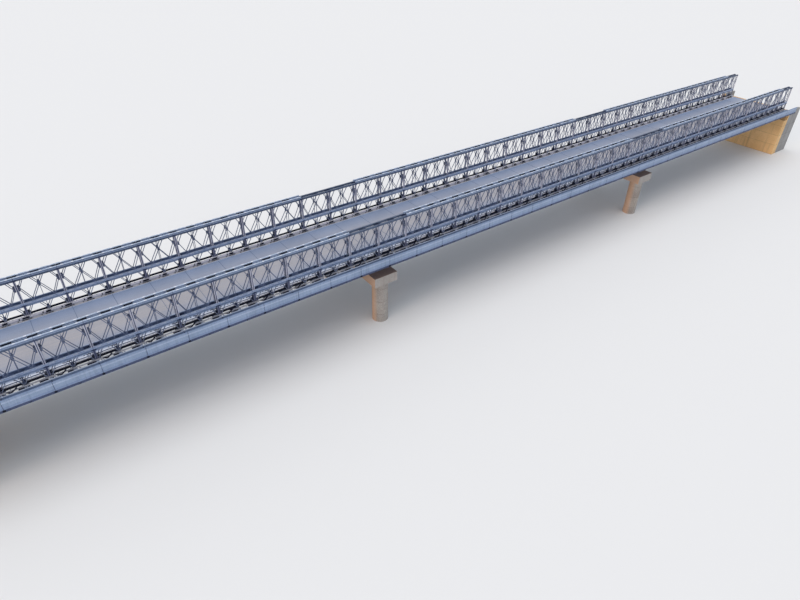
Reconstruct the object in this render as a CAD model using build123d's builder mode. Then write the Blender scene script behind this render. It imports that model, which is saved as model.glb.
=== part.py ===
from build123d import *
from math import hypot
import os

# Road bridge of steel panel trusses on concrete piers, modelled at one tenth of full size, so
# that one millimetre of the model stands for one centimetre of the real bridge.
# The origin is at the left end of the trusses, on the centreline of the roadway, at the level
# of the water round the piers. +X runs along the bridge and +Z is up. The footway is on the
# near side, towards -Y.

# Panels and spans
panel_length = 304.8
span_panels = {"left": 12, "middle": 13, "right": 12}
storey_clear_height = 200.0
storeys = 2

# Roadway
roadway_width = 735.0
kerb_width = 20.0
kerb_height = 20.0
deck_thickness = 15.0
transoms_per_panel = 2
transom_depth = 109.0
transom_flange_width = 26.0
transom_flange_thickness = 4.0
transom_web_thickness = 3.0

# Truss planes: two on each side of the roadway
truss_gap = 9.5
plane_spacing = 46.0
chord_depth = 16.0
chord_width = 14.0
post_width = 22.0
post_thickness = 4.0
reinforcement_depth = 16.0
bare_panels = 1

# Braces: a V on each quarter point, whose arms cross the next ones at a share of the height
brace_width = 6.0
brace_thickness = 4.5
brace_crossing = 0.575

# Footway on the near side
footway_gap = 22.0
footway_width = 143.0
footway_above_roadway = 10.0
footway_plate = 5.0
edge_beam_depth = 19.0
edge_beam_width = 5.0
parapet_height = 78.0
parapet_thickness = 3.0
parapet_joint = 2.0
bracket_thickness = 4.0
bracket_tip_depth = 12.0

# Piers
column_diameter = 155.0
column_height = 450.0
column_y = 460.0
crosshead_length = 1130.0
crosshead_width = 250.0
crosshead_depth = 94.0

# Bearings
bearing_height = 12.0
pier_bearing_length = 40.0
end_bearing_length = 30.0
end_bearing_inset = 22.0
bearing_overhang = 6.0

# Abutments
abutment_width = 1090.0
abutment_front_inset = 68.0
expansion_gap = 12.0
back_wall_thickness = 30.0
wing_wall_length = 300.0
wing_wall_thickness = 30.0

# Levels that follow from the sizes
seat_z = column_height + crosshead_depth
truss_base_z = seat_z + bearing_height
storey_height = storey_clear_height + 2 * chord_depth
truss_top_z = truss_base_z + storeys * storey_height
deck_base_z = truss_base_z + transom_depth
deck_top_z = deck_base_z + deck_thickness
footway_top_z = deck_top_z + footway_above_roadway
footway_base_z = footway_top_z - footway_plate

# Places that follow from the sizes
bridge_panels = sum(span_panels.values())
bridge_length = bridge_panels * panel_length
deck_width = roadway_width + 2 * kerb_width
inner_plane_y = deck_width / 2 + truss_gap + chord_width / 2
outer_plane_y = inner_plane_y + plane_spacing
truss_inner_face_y = inner_plane_y - chord_width / 2
truss_outer_face_y = outer_plane_y + chord_width / 2
footway_inner_y = truss_outer_face_y + footway_gap
footway_outer_y = footway_inner_y + footway_width
sides = {"near": -1, "far": 1}
plane_places = (inner_plane_y, outer_plane_y)


def span_starts():
    """First panel joint of each span, counted from the left end."""
    starts = {}
    joint = 0
    for span, panels in span_panels.items():
        starts[span] = joint
        joint += panels
    return starts


def storey_base(storey):
    """Underside of a storey's lower chord."""
    return truss_base_z + storey * storey_height


def save(piece, label):
    piece.part.label = label
    export_step(piece.part, f"parts/{label}.step")


def member_places(start, panels, per_panel, member_width):
    """Places of the members of one span that repeat per panel, and close up at the ends."""
    first = 0 if start == 0 else start * per_panel + 1
    last = (start + panels) * per_panel
    half = member_width / 2
    places = [index * panel_length / per_panel for index in range(first, last + 1)]
    return [min(max(place, half), bridge_length - half) for place in places]


def truss_chords(start, panels, side):
    """Chords of both truss planes on one side: each is a pair of channels, side by side."""
    levels = {
        truss_base_z + chord_depth / 2: chord_depth,
        storey_base(1): 2 * chord_depth,
        truss_top_z - chord_depth / 2: chord_depth,
    }
    channel_width = (chord_width - post_thickness) / 2
    with BuildPart() as chords:
        with BuildSketch(Plane.YZ.offset(start * panel_length)):
            for plane_y in plane_places:
                for level_z, depth in levels.items():
                    with Locations((side * plane_y, level_z)):
                        with GridLocations(chord_width - channel_width, depth, 2, 1):
                            Rectangle(channel_width, depth)
        extrude(amount=panels * panel_length)
    return chords


def truss_posts(start, panels, side):
    """Upright bars at the panel joints, held between the channels of the chords."""
    with BuildPart() as posts:
        with BuildSketch(Plane.XY.offset(truss_base_z)):
            for place in member_places(start, panels, 1, post_width):
                with Locations((place, side * inner_plane_y), (place, side * outer_plane_y)):
                    Rectangle(post_width, post_thickness)
        extrude(amount=truss_top_z - truss_base_z)
    return posts


def brace_outline(foot_x, base_z):
    """Outline of one V of two bars, with its foot on the lower chord of a storey."""
    slope = brace_crossing * storey_clear_height / (panel_length / 4)
    thickness_x = brace_width * hypot(1, slope) / slope
    reach = storey_clear_height / slope
    low = base_z + chord_depth
    high = low + storey_clear_height
    return [
        (foot_x, low),
        (foot_x + reach, high),
        (foot_x + reach - thickness_x, high),
        (foot_x, low + thickness_x * slope),
        (foot_x - reach + thickness_x, high),
        (foot_x - reach, high),
    ]


def truss_braces(start, panels, plane_y):
    """Braces of both storeys, on one face of the posts and the other in turn."""
    layer = (post_thickness + brace_thickness) / 2
    first = -1 if start == 0 else 2 * start
    last = 2 * (start + panels) + (1 if start + panels == bridge_panels else 0)
    with BuildPart() as braces:
        for face in (-1, 1):
            with BuildSketch(Plane.XZ.offset(-plane_y - face * layer)):
                for foot in range(first, last):
                    if foot % 2 == (face + 1) // 2:
                        for storey in range(storeys):
                            foot_x = (foot + 0.5) * panel_length / 2
                            with BuildLine():
                                Polyline(*brace_outline(foot_x, storey_base(storey)), close=True)
                            make_face()
                with Locations((bridge_length / 2, storey_base(1))):
                    Rectangle(bridge_length, 2 * storey_height, mode=Mode.INTERSECT)
            extrude(amount=brace_thickness / 2, both=True)
    return braces


def chord_reinforcement(side, base_z):
    """Second chord bolted along the chords of both planes, left off over the piers."""
    with BuildPart() as chords:
        with BuildSketch(Plane.XY.offset(base_z)):
            for span, start in span_starts().items():
                panels = span_panels[span] - 2 * bare_panels
                middle_x = (start + span_panels[span] / 2) * panel_length
                for plane_y in plane_places:
                    with Locations((middle_x, side * plane_y)):
                        Rectangle(panels * panel_length, chord_width)
        extrude(amount=reinforcement_depth)
    return chords


def deck(start, panels):
    """Steel deck of one span."""
    length = panels * panel_length
    with BuildPart() as plate:
        with BuildSketch(Plane.XY.offset(deck_base_z)):
            with Locations((start * panel_length + length / 2, 0)):
                Rectangle(length, deck_width)
        extrude(amount=deck_thickness)
    return plate


def kerb(side):
    """Kerb along one edge of the roadway, from end to end."""
    with BuildPart() as strip:
        with BuildSketch(Plane.XY.offset(deck_top_z)):
            with Locations((bridge_length / 2, side * (roadway_width + kerb_width) / 2)):
                Rectangle(bridge_length, kerb_width)
        extrude(amount=kerb_height)
    return strip


def transoms(start, panels):
    """Cross beams of one span, held between the bottom chords of the inner planes."""
    beam_length = 2 * truss_inner_face_y
    with BuildPart() as beams:
        with BuildSketch(Plane.XZ):
            for place in member_places(start, panels, transoms_per_panel, transom_flange_width):
                with Locations((place, truss_base_z + transom_depth / 2)):
                    Rectangle(transom_web_thickness, transom_depth)
                    with GridLocations(1, transom_depth - transom_flange_thickness, 1, 2):
                        Rectangle(transom_flange_width, transom_flange_thickness)
        extrude(amount=beam_length / 2, both=True)
    return beams


def footway_floor():
    """Floor plate of the footway with its turned-down outer edge beam."""
    with BuildPart() as floor:
        with BuildSketch(Plane.YZ):
            with Locations((-footway_outer_y, footway_top_z)):
                Rectangle(footway_width, footway_plate, align=(Align.MIN, Align.MAX))
                Rectangle(edge_beam_width, edge_beam_depth, align=(Align.MIN, Align.MAX))
        extrude(amount=bridge_length)
    return floor


def footway_parapet():
    """Parapet of the footway: one upright panel for each truss panel."""
    parapet_y = -footway_outer_y + parapet_thickness / 2
    with BuildPart() as parapet:
        with BuildSketch(Plane.XY.offset(footway_top_z)):
            with Locations((bridge_length / 2, parapet_y)):
                with GridLocations(panel_length, parapet_thickness, bridge_panels, 1):
                    Rectangle(panel_length - parapet_joint, parapet_thickness)
        extrude(amount=parapet_height)
    return parapet


def footway_brackets():
    """Tapered brackets that carry the footway from the outer truss of the near side."""
    places = member_places(0, bridge_panels, transoms_per_panel, transom_flange_width)
    tip_y = -footway_outer_y + edge_beam_width
    root_y = -truss_outer_face_y
    with BuildPart() as brackets:
        with BuildSketch(*[Plane.YZ.offset(place) for place in places]):
            with BuildLine():
                Polyline(
                    (root_y, truss_base_z),
                    (root_y, footway_base_z),
                    (tip_y, footway_base_z),
                    (tip_y, footway_base_z - bracket_tip_depth),
                    close=True,
                )
            make_face()
        extrude(amount=bracket_thickness / 2, both=True)
    return brackets


def pier_column(pier_x, side):
    with BuildPart() as column:
        with BuildSketch():
            with Locations((pier_x, side * column_y)):
                Circle(column_diameter / 2)
        extrude(amount=column_height)
    return column


def pier_crosshead(pier_x):
    with BuildPart() as crosshead:
        with BuildSketch(Plane.XY.offset(column_height)):
            with Locations((pier_x, 0)):
                Rectangle(crosshead_width, crosshead_length)
        extrude(amount=crosshead_depth)
    return crosshead


def bearings(places, length):
    """Bearing blocks, one under each pair of truss planes at each place."""
    block_width = plane_spacing + chord_width + 2 * bearing_overhang
    block_y = (inner_plane_y + outer_plane_y) / 2
    with BuildPart() as blocks:
        with BuildSketch(Plane.XY.offset(seat_z)):
            for place in places:
                with Locations((place, -block_y), (place, block_y)):
                    Rectangle(length, block_width)
        extrude(amount=bearing_height)
    return blocks


def abutment(end_x, outward):
    """Front wall with its bearing seat, and the back wall behind the end of the trusses."""
    front_x = end_x - outward * abutment_front_inset
    seat_end_x = end_x + outward * expansion_gap
    back_x = seat_end_x + outward * back_wall_thickness
    with BuildPart() as wall:
        with BuildSketch(Plane.XZ):
            with BuildLine():
                Polyline(
                    (front_x, 0),
                    (front_x, seat_z),
                    (seat_end_x, seat_z),
                    (seat_end_x, deck_top_z),
                    (back_x, deck_top_z),
                    (back_x, 0),
                    close=True,
                )
            make_face()
        extrude(amount=abutment_width / 2, both=True)
    return wall


def wing_wall(end_x, outward, side):
    """Wall that runs back from one end of an abutment, parallel with the roadway."""
    wall_start = end_x + outward * (expansion_gap + back_wall_thickness)
    wall_x = wall_start + outward * wing_wall_length / 2
    wall_y = side * (abutment_width - wing_wall_thickness) / 2
    with BuildPart() as wall:
        with BuildSketch():
            with Locations((wall_x, wall_y)):
                Rectangle(wing_wall_length, wing_wall_thickness)
        extrude(amount=deck_top_z)
    return wall


os.makedirs("parts", exist_ok=True)

# Spans
for span, start in span_starts().items():
    panels = span_panels[span]
    for side, sign in sides.items():
        save(truss_chords(start, panels, sign), f"{span}_{side}_chords")
        save(truss_posts(start, panels, sign), f"{span}_{side}_posts")
        save(truss_braces(start, panels, sign * outer_plane_y), f"{span}_{side}_diagonals")
    save(deck(start, panels), f"{span}_deck")
    save(transoms(start, panels), f"{span}_transoms")

# Pieces that run from end to end
for side, sign in sides.items():
    save(chord_reinforcement(sign, truss_top_z), f"{side}_top_reinforcement")
    lower_z = truss_base_z - reinforcement_depth
    save(chord_reinforcement(sign, lower_z), f"{side}_bottom_reinforcement")
    save(kerb(sign), f"{side}_kerb")
save(footway_floor(), "footway_floor")
save(footway_parapet(), "footway_parapet")
save(footway_brackets(), "footway_brackets")

# Piers
pier_joints = {"left": span_starts()["middle"], "right": span_starts()["right"]}
pier_places = [joint * panel_length for joint in pier_joints.values()]
for pier, pier_x in zip(pier_joints, pier_places):
    for side, sign in sides.items():
        save(pier_column(pier_x, sign), f"{pier}_pier_{side}_column")
    save(pier_crosshead(pier_x), f"{pier}_pier_crosshead")
save(bearings(pier_places, pier_bearing_length), "pier_bearings")

# Abutments
end_places = [end_bearing_inset, bridge_length - end_bearing_inset]
save(bearings(end_places, end_bearing_length), "abutment_bearings")
for end, end_x, outward in (("left", 0, -1), ("right", bridge_length, 1)):
    save(abutment(end_x, outward), f"{end}_abutment")
    for side, sign in sides.items():
        save(wing_wall(end_x, outward, sign), f"{end}_{side}_wing_wall")
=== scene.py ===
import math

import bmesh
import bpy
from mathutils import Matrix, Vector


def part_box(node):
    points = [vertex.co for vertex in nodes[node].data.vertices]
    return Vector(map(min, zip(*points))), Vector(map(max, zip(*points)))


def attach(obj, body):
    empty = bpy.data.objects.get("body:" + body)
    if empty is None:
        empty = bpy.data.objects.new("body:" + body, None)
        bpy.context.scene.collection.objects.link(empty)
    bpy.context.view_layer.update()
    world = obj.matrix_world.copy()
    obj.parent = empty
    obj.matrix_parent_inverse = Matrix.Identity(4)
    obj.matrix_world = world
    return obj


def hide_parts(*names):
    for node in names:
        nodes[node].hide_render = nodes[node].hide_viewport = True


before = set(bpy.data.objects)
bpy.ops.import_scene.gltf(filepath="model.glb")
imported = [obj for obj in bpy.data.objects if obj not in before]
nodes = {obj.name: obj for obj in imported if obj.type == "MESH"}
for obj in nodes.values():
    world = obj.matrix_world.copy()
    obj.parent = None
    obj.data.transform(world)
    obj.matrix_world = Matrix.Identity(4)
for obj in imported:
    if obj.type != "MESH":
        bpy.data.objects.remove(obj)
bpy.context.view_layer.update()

# %% [markdown]
# # Dressing a panel-truss road bridge
# The bridge is a scale model at one tenth of full size: one millimetre of it stands for one
# centimetre of the real bridge. The solids of its frame are already in place. These cells give
# them the look of the real thing: rolled channels, pins, bolts, plates, grime and concrete.
# Lengths are written in millimetres of the model, and are turned into metres in one place.

MM = 0.001

# %% [markdown]
# ## Levels and places
# Everything that is added has to sit on what carries it. So the levels of the chords, the deck
# and the footway aren't typed in again: they are read from the boxes of the frame's own pieces,
# and change with them. Only the count of panels in each span and the section of a chord are
# given here.

# %% Read the levels from the frame
SPANS = {"left": (0, 12), "middle": (12, 25), "right": (25, 37)}
SIDES = {"near": -1, "far": 1}
PANELS = 37
CHORD_WIDTH, CHORD_DEPTH = 14.0, 16.0


def box_mm(node):
    """Lowest and highest corner of a frame piece, in millimetres."""
    low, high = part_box(node)
    return low / MM, high / MM


chord_low, chord_high = box_mm("left_far_chords")
deck_low, deck_high = box_mm("left_deck")
kerb_low, kerb_high = box_mm("near_kerb")
floor_low, floor_high = box_mm("footway_floor")
rail_low, rail_high = box_mm("footway_parapet")
PANEL = kerb_high.x / PANELS
LENGTH = PANELS * PANEL
inner_y = chord_low.y + CHORD_WIDTH / 2
outer_y = chord_high.y - CHORD_WIDTH / 2
between_y = (inner_y + outer_y) / 2
gap_low, gap_high = inner_y + CHORD_WIDTH / 2, outer_y - CHORD_WIDTH / 2
base_z, top_z = chord_low.z, chord_high.z
mid_z = (base_z + top_z) / 2
joint_places = [joint * PANEL for joint in range(PANELS + 1)]
half_places = [(half * PANEL / 2, half % 2 == 0) for half in range(2 * PANELS + 1)]
print(f"Panel {PANEL:.1f} mm, planes at {inner_y:.0f} and {outer_y:.0f} mm from the centreline")
print(f"Chords at {base_z:.0f}, {mid_z:.0f} and {top_z:.0f} mm above the water")

# %% [markdown]
# ## A box of building helpers
# A bridge is made of straight bars, so nearly every piece is an outline drawn out in a straight
# line. One helper does that for any outline. Others use it for blocks, slanting bars, rods and
# hexagon bolts. They collect their corners in a stock, and the stock becomes one mesh. That is
# much faster than adding thousands of objects.

# %% Helpers that collect corners and faces
X, Y, Z = (1, 0, 0), (0, 1, 0), (0, 0, 1)


def new_stock():
    """An empty stock: a list of points and a list of faces."""
    return [], []


def new_stocks(count):
    return [new_stock() for _ in range(count)]


def draw_out(stock, outline, start, end, across, up):
    """Draws a flat outline out from start to end. Across and up are the outline's own axes."""
    points, faces = stock
    base, count = len(points), len(outline)
    for centre in (start, end):
        points.extend([c + a * s + b * u for c, s, u in zip(centre, across, up)]
                      for a, b in outline)
    faces.append([base + i for i in reversed(range(count))])
    faces.append([base + count + i for i in range(count)])
    for i in range(count):
        j = (i + 1) % count
        faces.append([base + i, base + j, base + count + j, base + count + i])


def add_long(stock, section, sign, start, end, z=0.0, y=0.0):
    """A long piece. Its section is given as (away from the middle of the road, up)."""
    outline = [(sign * across, up) for across, up in section]
    draw_out(stock, outline, (start, y, z), (end, y, z), Y, Z)


def oblong(low_a, high_a, low_b, high_b):
    return [(low_a, low_b), (high_a, low_b), (high_a, high_b), (low_a, high_b)]


def add_block(stock, low, high):
    """A square-cornered block between two opposite corners."""
    add_long(stock, oblong(low[1], high[1], low[2], high[2]), 1, low[0], high[0])


def add_beside(stock, sign, x_range, across, z_range):
    """A block beside the road. Across holds its two distances from the middle."""
    near, away = sorted(sign * y for y in across)
    add_block(stock, (x_range[0], near, z_range[0]), (x_range[1], away, z_range[1]))


def add_bar(stock, start, end, width, thickness, flat_on=Y):
    """A flat bar from point to point. Its thickness runs along flat_on."""
    start, end, flat = Vector(start), Vector(end), Vector(flat_on)
    across = (end - start).cross(flat).normalized()
    w, t = width / 2, thickness / 2
    draw_out(stock, oblong(-w, w, -t, t), start, end, across, flat)


def add_rod(stock, start, end, radius, sides=6):
    """A round rod, or with six sides a hexagon bolt head."""
    start, end = Vector(start), Vector(end)
    along = (end - start).normalized()
    across = along.orthogonal().normalized()
    turns = [2 * math.pi / sides * i for i in range(sides)]
    ring = [(radius * math.cos(a), radius * math.sin(a)) for a in turns]
    draw_out(stock, ring, start, end, across, along.cross(across))


def inside_bridge(x, half):
    """Moves the middle of a part so that it doesn't stand out past either end."""
    return min(max(x, half), LENGTH - half)


def around(middle, half):
    return middle - half, middle + half


def cut_short(number, length, inset):
    """Both ends of one length in a row of equal ones, each end cut back by an inset."""
    return number * length + inset, (number + 1) * length - inset


print("Helpers ready: block, bar, rod and any outline")

# %% Helper that turns a stock into a piece
SMOOTH_ANGLE = math.radians(35)
STEEL = "galvanised_steel"
finishes = {}


def make_piece(name, stock, finish, replaced):
    """One mesh object in the bridge's frame, with its finish, riding with the bridge."""
    points, faces = stock
    mesh = bpy.data.meshes.new(name)
    mesh.from_pydata([[c * MM for c in p] for p in points], [], faces)
    shell = bmesh.new()
    shell.from_mesh(mesh)
    bmesh.ops.recalc_face_normals(shell, faces=shell.faces)
    shell.to_mesh(mesh)
    shell.free()
    mesh.polygons.foreach_set("use_smooth", [True] * len(mesh.polygons))
    mesh.set_sharp_from_angle(angle=SMOOTH_ANGLE)
    mesh.materials.append(finishes[finish])
    piece = bpy.data.objects.new(name, mesh)
    bpy.context.scene.collection.objects.link(piece)
    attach(piece, "root")
    if replaced:
        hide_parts(*replaced)
    print(f"{name}: {len(mesh.polygons)} faces")


def make_pieces(prefix, slot, *rows):
    """A piece for each row: name, stock, finish, and then what it replaces, if anything."""
    for name, stock, finish, *replaced in rows:
        make_piece(prefix + name, stock, finish, [prefix + node for node in replaced])


# %% [markdown]
# ## The camera
# The picture was taken from the air, a little above the left end, looking down and to the
# right. The place, the turn, the tilt and the lens were worked out from the panel joints, which
# lie at known distances along the bridge.

# %% Place the camera
CAMERA_PLACE = (1.07047, -4.24230, 3.48899)
YAW, PITCH, ROLL = (math.radians(a) for a in (36.7785, 35.6035, 0.87219))
FOCAL_PIXELS = 585.20
IMAGE_WIDTH = 800
ahead = Vector((math.sin(YAW), math.cos(YAW), 0))
right = Vector((math.cos(YAW), -math.sin(YAW), 0))
sight = ahead * math.cos(PITCH) - Vector(Z) * math.sin(PITCH)
upward = ahead * math.sin(PITCH) + Vector(Z) * math.cos(PITCH)
camera_x = right * math.cos(ROLL) + upward * math.sin(ROLL)
camera_y = upward * math.cos(ROLL) - right * math.sin(ROLL)
turn = Matrix((camera_x, camera_y, -sight)).transposed().to_4x4()

camera_data = bpy.data.cameras.new("camera")
camera_data.sensor_width = 36
camera_data.sensor_fit = "HORIZONTAL"
camera_data.lens = FOCAL_PIXELS / IMAGE_WIDTH * camera_data.sensor_width
camera_data.clip_end = 200
camera = bpy.data.objects.new("camera", camera_data)
bpy.context.scene.collection.objects.link(camera)
camera.matrix_world = Matrix.Translation(CAMERA_PLACE) @ turn
bpy.context.scene.camera = camera
print(f"Lens {camera_data.lens:.2f} mm, {CAMERA_PLACE[2]:.2f} m above the floor")

# %% [markdown]
# ## Nodes by name
# Finishes, effects and the studio's world are all trees of nodes. A tree is quicker to read when
# each node is one call that holds its settings and what goes into it. So a few helpers come
# first: one for any node, and short ones for the kinds that come up again and again.

# %% Helpers for nodes
def add_node(tree, kind, values=None, **settings):
    """A node with its settings, and values or links for its inputs."""
    node = tree.nodes.new(kind)
    for key, value in settings.items():
        setattr(node, key, value)
    for socket, value in (values or {}).items():
        if isinstance(value, bpy.types.NodeSocket):
            tree.links.new(value, node.inputs[socket])
        else:
            node.inputs[socket].default_value = value
    return node


def work_out(tree, operation, first, second=0.5):
    """The result of a sum on one or two values."""
    return add_node(tree, "ShaderNodeMath", {0: first, 1: second}, operation=operation).outputs[0]


def spread_out(tree, value, low, high, bottom=0.0, top=1.0):
    """A value spread out so that low becomes bottom and high becomes top."""
    return add_node(tree, "ShaderNodeMapRange", {
        "Value": value, "From Min": low, "From Max": high, "To Min": bottom, "To Max": top,
    }).outputs[0]


def noise(tree, vector, scale, detail):
    return add_node(tree, "ShaderNodeTexNoise",
                    {"Vector": vector, "Scale": scale, "Detail": detail}).outputs["Fac"]


def layer(tree, under, colour, mask):
    """Lays a colour over another where the mask is on."""
    return add_node(tree, "ShaderNodeMix", {"Factor": mask, 6: under, 7: colour},
                    data_type="RGBA").outputs[2]


def object_place(tree):
    return add_node(tree, "ShaderNodeTexCoord").outputs["Object"]


def pulled_place(tree, x, y, z):
    """Where a spot lies on the object, with each axis pulled out by a factor."""
    factors = add_node(tree, "ShaderNodeCombineXYZ", {"X": x, "Y": y, "Z": z}).outputs[0]
    return add_node(tree, "ShaderNodeVectorMath", {0: object_place(tree), 1: factors},
                    operation="MULTIPLY").outputs[0]


def surface_normal(tree):
    return add_node(tree, "ShaderNodeNewGeometry").outputs["Normal"]


def dot_product(tree, first, second):
    return add_node(tree, "ShaderNodeVectorMath", {0: first, 1: second},
                    operation="DOT_PRODUCT").outputs["Value"]


def part_of(tree, vector, axis):
    return add_node(tree, "ShaderNodeSeparateXYZ", {0: vector}).outputs[axis]


print("Helpers ready for nodes")

# %% [markdown]
# ## Studio light
# The day was bright but overcast, with a low warm glow from the left. A pale world gives the
# even part of it. A wide, soft sun from above gives the form, and a weak warm one from the left
# gives part of the glow on the concrete; the rest is painted on the concrete's left faces. Camera
# and gloss rays see a plain pale background, so the object isn't lit any brighter for the sake of
# a white backdrop.

# %% World, lamps and floor
scene = bpy.context.scene
scene.view_settings.view_transform = "Standard"
scene.world = bpy.data.worlds.new("studio")
scene.world.use_nodes = True
tree = scene.world.node_tree
tree.nodes.clear()
fill = add_node(tree, "ShaderNodeBackground", {"Color": (0.90, 0.94, 1.0, 1), "Strength": 0.70})
backdrop = add_node(tree, "ShaderNodeBackground",
                    {"Color": (0.86, 0.87, 0.88, 1), "Strength": 1.0})
rays = add_node(tree, "ShaderNodeLightPath").outputs
seen = work_out(tree, "MAXIMUM", rays["Is Camera Ray"], rays["Is Glossy Ray"])
seen = work_out(tree, "MAXIMUM", seen, rays["Is Transmission Ray"])
choice = add_node(tree, "ShaderNodeMixShader",
                  {"Fac": seen, 1: fill.outputs[0], 2: backdrop.outputs[0]})
add_node(tree, "ShaderNodeOutputWorld", {"Surface": choice.outputs[0]})


def add_sun(name, direction, strength, colour, spread):
    """A lamp that shines along a direction, softened by its spread in degrees."""
    data = bpy.data.lights.new(name, "SUN")
    data.energy = strength
    data.color = colour
    data.angle = math.radians(spread)
    lamp = bpy.data.objects.new(name, data)
    lamp.rotation_mode = "QUATERNION"
    lamp.rotation_quaternion = Vector(direction).to_track_quat("-Z", "Y")
    scene.collection.objects.link(lamp)


add_sun("key", (0.25, 0.05, -1.0), 1.15, (1.0, 0.98, 0.96), 60)
add_sun("glow", (1.0, 0.15, -0.35), 0.8, (1.0, 0.70, 0.48), 25)

FLOOR_REACH = 60
floor_mesh = bpy.data.meshes.new("floor")
corners = [(x, y, 0) for x, y in oblong(-FLOOR_REACH, FLOOR_REACH, -FLOOR_REACH, FLOOR_REACH)]
floor_mesh.from_pydata(corners, [], [(0, 1, 2, 3)])
floor = bpy.data.objects.new("floor", floor_mesh)
scene.collection.objects.link(floor)
print("World, two lamps and a floor")

# %% [markdown]
# ## Effects that several finishes share
# Real zinc isn't one grey: it is cloudy, with paler and darker patches a hand wide. Rain leaves
# thin upright runs on it, dust settles on whatever faces up, and edges are brighter, partly from
# wear and partly as a painted highlight.
# Each effect is a node group with named inputs and outputs, built once. A finish places the
# groups it needs and gives them its own values, and keeps its shader to itself.

# %% Helpers for node groups
def new_group(name, **inputs):
    """An empty node group with named inputs, and the sockets that they come in by."""
    group = bpy.data.node_groups.new(name, "ShaderNodeTree")
    for label, value in inputs.items():
        kind = "NodeSocketColor" if isinstance(value, tuple) else "NodeSocketFloat"
        socket = group.interface.new_socket(label.replace("_", " "), in_out="INPUT",
                                            socket_type=kind)
        socket.default_value = value
    return group, group.nodes.new("NodeGroupInput").outputs


def hand_out(group, **outputs):
    """Gives a group its named outputs. The one called Color is a colour, the rest are values."""
    for label in outputs:
        kind = "NodeSocketColor" if label == "Color" else "NodeSocketFloat"
        group.interface.new_socket(label, in_out="OUTPUT", socket_type=kind)
    end = group.nodes.new("NodeGroupOutput")
    for label, value in outputs.items():
        group.links.new(value, end.inputs[label])
    print("Group:", group.name)


# %% Clouds: two colours that drift into each other
clouds, given = new_group("clouds", Pale=(0.8, 0.8, 0.8, 1), Dark=(0.5, 0.5, 0.5, 1), Scale=10.0,
                          Fine_Scale=90.0)
place = object_place(clouds)
both = work_out(clouds, "ADD", noise(clouds, place, given["Scale"], 4.0),
                noise(clouds, place, given["Fine Scale"], 3.0))
spread = spread_out(clouds, both, 0.75, 1.25)
hand_out(clouds, Color=layer(clouds, given["Dark"], given["Pale"], spread), Mask=spread)

# %% Rain runs: thin upright streaks
runs, given = new_group("rain_runs", Across=60.0, Along=3.0, Amount=0.5)
place = pulled_place(runs, given["Across"], given["Across"], given["Along"])
sharp = spread_out(runs, noise(runs, place, 1.0, 3.0), 0.5, 0.72)
hand_out(runs, Mask=work_out(runs, "MULTIPLY", sharp, given["Amount"]))

# %% Settled dust: where a surface faces up
dust, given = new_group("settled_dust", Scale=14.0, Amount=0.5)
flat = spread_out(dust, part_of(dust, surface_normal(dust), "Z"), 0.5, 0.95)
patchy = spread_out(dust, noise(dust, object_place(dust), given["Scale"], 5.0), 0.35, 0.7)
lying = work_out(dust, "MULTIPLY", flat, patchy)
hand_out(dust, Mask=work_out(dust, "MULTIPLY", lying, given["Amount"]))

# %% Worn edges and painted highlight: a rounded normal differs from the true one there
edges, given = new_group("worn_and_highlit_edges", Radius=0.0008, Amount=0.6)
rounded = add_node(edges, "ShaderNodeBevel", {"Radius": given["Radius"]}, samples=4).outputs[0]
corner = spread_out(edges, dot_product(edges, rounded, surface_normal(edges)), 0.99, 0.8)
hand_out(edges, Mask=work_out(edges, "MULTIPLY", corner, given["Amount"]))

# %% Sky side: whether a surface faces up; steel tops take a painted sky reflection by it
sky_side, given = new_group("sky_side", Amount=1.0)
facing_up = part_of(sky_side, surface_normal(sky_side), "Z")
hand_out(sky_side, Mask=spread_out(sky_side, facing_up, 0.3, 0.9, 0.0, given["Amount"]))

# %% Lanes: how near a kerb a spot lies, and streaks along the road
lanes, given = new_group("lanes", Middle=0.0, Inner=0.12, Outer=0.33, Across=90.0, Along=2.0)
moved = work_out(lanes, "SUBTRACT", part_of(lanes, object_place(lanes), "Y"), given["Middle"])
edge = spread_out(lanes, work_out(lanes, "ABSOLUTE", moved), given["Inner"], given["Outer"])
place = pulled_place(lanes, given["Along"], given["Across"], 1.0)
hand_out(lanes, Edge=edge, Streak=spread_out(lanes, noise(lanes, place, 1.0, 4.0), 0.4, 0.65))

# %% [markdown]
# ## Steel finishes
# All the steel is hot-dip galvanised: a soft, cloudy blue-grey with a dull shine. The pieces
# differ in how much dust and rain they take, and are painted paler or darker for the light and
# shade on each kind of part. So one helper lays out the shader, and each finish is one row of a
# table: pale and dark colour, dust, runs, and the colour of its top where that is painted paler
# for the sky's reflection.

# %% Helper for a steel finish
DUSTY = (0.42, 0.38, 0.33)
# How much a top colour takes: a painted sky reflection on steel, grime on concrete.
TOP_AMOUNT = 0.85
RUN_SHADE, EDGE_LIGHT = 0.45, 1.25


def place_group(tree, group, **values):
    """Places a node group. An underscore in a name stands for a space."""
    node = add_node(tree, "ShaderNodeGroup", node_tree=group)
    for label, value in values.items():
        node.inputs[label.replace("_", " ")].default_value = value
    return node.outputs


def lay_group(tree, under, over, group, **values):
    """Lays a colour over another where the mask of a placed group is on."""
    return layer(tree, under, (*over, 1), place_group(tree, group, **values)["Mask"])


def new_finish(name, roughness, metallic):
    """Starts a material, and gives its node tree and its Principled shader."""
    material = finishes[name] = bpy.data.materials.new(name)
    material.use_nodes = True
    shader = material.node_tree.nodes["Principled BSDF"]
    shader.inputs["Roughness"].default_value = roughness
    shader.inputs["Metallic"].default_value = metallic
    return material.node_tree, shader


def lay_on(tree, shader, colour, grain, strength, distance):
    """Gives a shader its colour, and a fine grain to its surface."""
    tree.links.new(colour, shader.inputs["Base Color"])
    bump = add_node(tree, "ShaderNodeBump",
                    {"Height": grain, "Strength": strength, "Distance": distance})
    tree.links.new(bump.outputs[0], shader.inputs["Normal"])


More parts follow.
